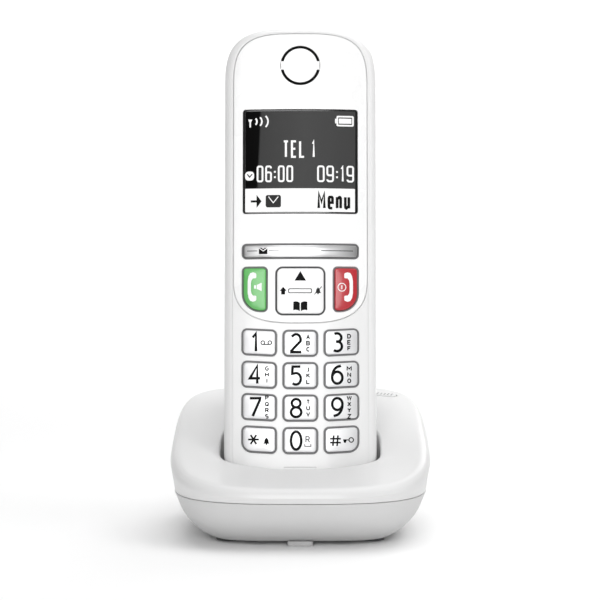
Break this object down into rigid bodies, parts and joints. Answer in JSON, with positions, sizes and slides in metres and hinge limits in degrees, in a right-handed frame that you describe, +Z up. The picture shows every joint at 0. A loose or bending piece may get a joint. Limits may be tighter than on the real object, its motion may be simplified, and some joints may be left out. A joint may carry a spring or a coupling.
{
  "type": "cordless telephone with charging base",
  "caption": "White cordless telephone handset with display and keypad standing in a bowl-shaped charging base; every key, the handset, contacts and battery cover move.",
  "frame": {"origin": "centre of the base's footprint at the level it stands on", "axes": "+Z up, -Y out of the handset's keypad side, +X to the viewer's right when facing the keypad"},
  "size_m": [0.087, 0.102, 0.1698],
  "materials": {
    "gloss_white_plastic": "gloss",
    "satin_white_plastic": "satin",
    "key_white_plastic": "satin",
    "key_silver_plastic": "satin metallic",
    "key_green_plastic": "gloss",
    "key_red_plastic": "gloss",
    "window_black": "gloss",
    "black_cloth": "matte",
    "dark_plastic": "satin",
    "grey_plastic": "satin",
    "grey_rubber": "matte",
    "diffuser_plastic": "satin",
    "board_green": "satin",
    "tinned_steel": "satin",
    "gold_plate": "bright",
    "cell_sleeve": "gloss"
  },
  "bodies": {
    "base": {"base_upper_shell": "gloss_white_plastic", "base_lower_shell": "satin_white_plastic", "base_feet": "grey_rubber", "front_tab": "grey_plastic", "base_screws": "tinned_steel", "base_pcb": "board_green", "base_rf_shield": "tinned_steel", "base_antenna": "gold_plate", "charge_contact_holder": "dark_plastic", "paging_switch": "dark_plastic", "power_socket": "dark_plastic", "line_socket": "grey_plastic"},
    "handset": {"handset_front_shell": "gloss_white_plastic", "handset_fascia": "gloss_white_plastic", "handset_rear_shell": "gloss_white_plastic", "earpiece_cap": "gloss_white_plastic", "earpiece_cloth": "black_cloth", "earpiece_speaker": "dark_plastic", "display_window": "window_black", "display_gasket": "grey_rubber", "lcd_module": "grey_plastic", "display_light_guide": "diffuser_plastic", "keypad_mat": "grey_rubber", "handset_pcb": "board_green", "handset_antenna": "gold_plate", "microphone": "dark_plastic", "handsfree_speaker": "dark_plastic", "battery_left": "cell_sleeve", "battery_right": "cell_sleeve", "battery_spring_contacts": "tinned_steel", "battery_plate_contacts": "tinned_steel", "handset_charge_contacts": "gold_plate", "handset_screws": "tinned_steel"},
    "battery_cover": {"battery_cover": "gloss_white_plastic"},
    "charge_contact_left": {"charge_contact_left": "gold_plate"},
    "charge_contact_right": {"charge_contact_right": "gold_plate"},
    "paging_key": {"paging_key": "gloss_white_plastic"},
    "soft_key_bar": {"soft_key_bar": "key_silver_plastic"},
    "nav_pivot": {"nav_pivot": "dark_plastic"},
    "nav_key": {"nav_key": "gloss_white_plastic"},
    "talk_key": {"talk_key": "key_green_plastic"},
    "end_key": {"end_key": "key_red_plastic"},
    "key_1": {"key_1": "key_white_plastic"},
    "key_2": {"key_2": "key_white_plastic"},
    "key_3": {"key_3": "key_white_plastic"},
    "key_4": {"key_4": "key_white_plastic"},
    "key_5": {"key_5": "key_white_plastic"},
    "key_6": {"key_6": "key_white_plastic"},
    "key_7": {"key_7": "key_white_plastic"},
    "key_8": {"key_8": "key_white_plastic"},
    "key_9": {"key_9": "key_white_plastic"},
    "key_star": {"key_star": "key_white_plastic"},
    "key_0": {"key_0": "key_white_plastic"},
    "key_hash": {"key_hash": "key_white_plastic"}
  },
  "joints": [
    {"name": "handset_lift", "type": "slide", "parent": "base", "child": "handset", "axis": [0, 0.165, 0.9863], "range_m": [0, 0.045]},
    {"name": "battery_cover_pull", "type": "slide", "parent": "handset", "child": "battery_cover", "axis": [0, 0.9863, -0.165], "range_m": [0, 0.015]},
    {"name": "charge_contact_left_press", "type": "slide", "parent": "base", "child": "charge_contact_left", "axis": [0, -0.165, -0.9863], "range_m": [0, 0.0006], "stiffness_N_per_m": 300},
    {"name": "charge_contact_right_press", "type": "slide", "parent": "base", "child": "charge_contact_right", "axis": [0, -0.165, -0.9863], "range_m": [0, 0.0006], "stiffness_N_per_m": 300},
    {"name": "paging_key_press", "type": "slide", "parent": "base", "child": "paging_key", "axis": [0, 0, -1], "range_m": [0, 0.0008], "stiffness_N_per_m": 500},
    {"name": "key_1_press", "type": "slide", "parent": "handset", "child": "key_1", "axis": [0, 0.9863, -0.165], "range_m": [0, 0.0008], "stiffness_N_per_m": 500},
    {"name": "key_2_press", "type": "slide", "parent": "handset", "child": "key_2", "axis": [0, 0.9863, -0.165], "range_m": [0, 0.0008], "stiffness_N_per_m": 500},
    {"name": "key_3_press", "type": "slide", "parent": "handset", "child": "key_3", "axis": [0, 0.9863, -0.165], "range_m": [0, 0.0008], "stiffness_N_per_m": 500},
    {"name": "key_4_press", "type": "slide", "parent": "handset", "child": "key_4", "axis": [0, 0.9863, -0.165], "range_m": [0, 0.0008], "stiffness_N_per_m": 500},
    {"name": "key_5_press", "type": "slide", "parent": "handset", "child": "key_5", "axis": [0, 0.9863, -0.165], "range_m": [0, 0.0008], "stiffness_N_per_m": 500},
    {"name": "key_6_press", "type": "slide", "parent": "handset", "child": "key_6", "axis": [0, 0.9863, -0.165], "range_m": [0, 0.0008], "stiffness_N_per_m": 500},
    {"name": "key_7_press", "type": "slide", "parent": "handset", "child": "key_7", "axis": [0, 0.9863, -0.165], "range_m": [0, 0.0008], "stiffness_N_per_m": 500},
    {"name": "key_8_press", "type": "slide", "parent": "handset", "child": "key_8", "axis": [0, 0.9863, -0.165], "range_m": [0, 0.0008], "stiffness_N_per_m": 500},
    {"name": "key_9_press", "type": "slide", "parent": "handset", "child": "key_9", "axis": [0, 0.9863, -0.165], "range_m": [0, 0.0008], "stiffness_N_per_m": 500},
    {"name": "key_star_press", "type": "slide", "parent": "handset", "child": "key_star", "axis": [0, 0.9863, -0.165], "range_m": [0, 0.0008], "stiffness_N_per_m": 500},
    {"name": "key_0_press", "type": "slide", "parent": "handset", "child": "key_0", "axis": [0, 0.9863, -0.165], "range_m": [0, 0.0008], "stiffness_N_per_m": 500},
    {"name": "key_hash_press", "type": "slide", "parent": "handset", "child": "key_hash", "axis": [0, 0.9863, -0.165], "range_m": [0, 0.0008], "stiffness_N_per_m": 500},
    {"name": "talk_key_press", "type": "slide", "parent": "handset", "child": "talk_key", "axis": [0, 0.9863, -0.165], "range_m": [0, 0.0008], "stiffness_N_per_m": 500},
    {"name": "end_key_press", "type": "slide", "parent": "handset", "child": "end_key", "axis": [0, 0.9863, -0.165], "range_m": [0, 0.0008], "stiffness_N_per_m": 500},
    {"name": "soft_key_rock", "type": "hinge", "parent": "handset", "child": "soft_key_bar", "pos_m": [0, -0.00634, 0.09489], "axis": [0, 0.165, 0.9863], "range_deg": [-1.5, 1.5], "stiffness_Nm_per_rad": 0.05},
    {"name": "nav_tilt_up_down", "type": "hinge", "parent": "handset", "child": "nav_pivot", "pos_m": [0, -0.00609, 0.08127], "axis": [1, 0, 0], "range_deg": [-2.5, 2.5], "stiffness_Nm_per_rad": 0.03},
    {"name": "nav_tilt_left_right", "type": "hinge", "parent": "nav_pivot", "child": "nav_key", "pos_m": [0, -0.00609, 0.08127], "axis": [0, 0.165, 0.9863], "range_deg": [-2.5, 2.5], "stiffness_Nm_per_rad": 0.03}
  ]
}
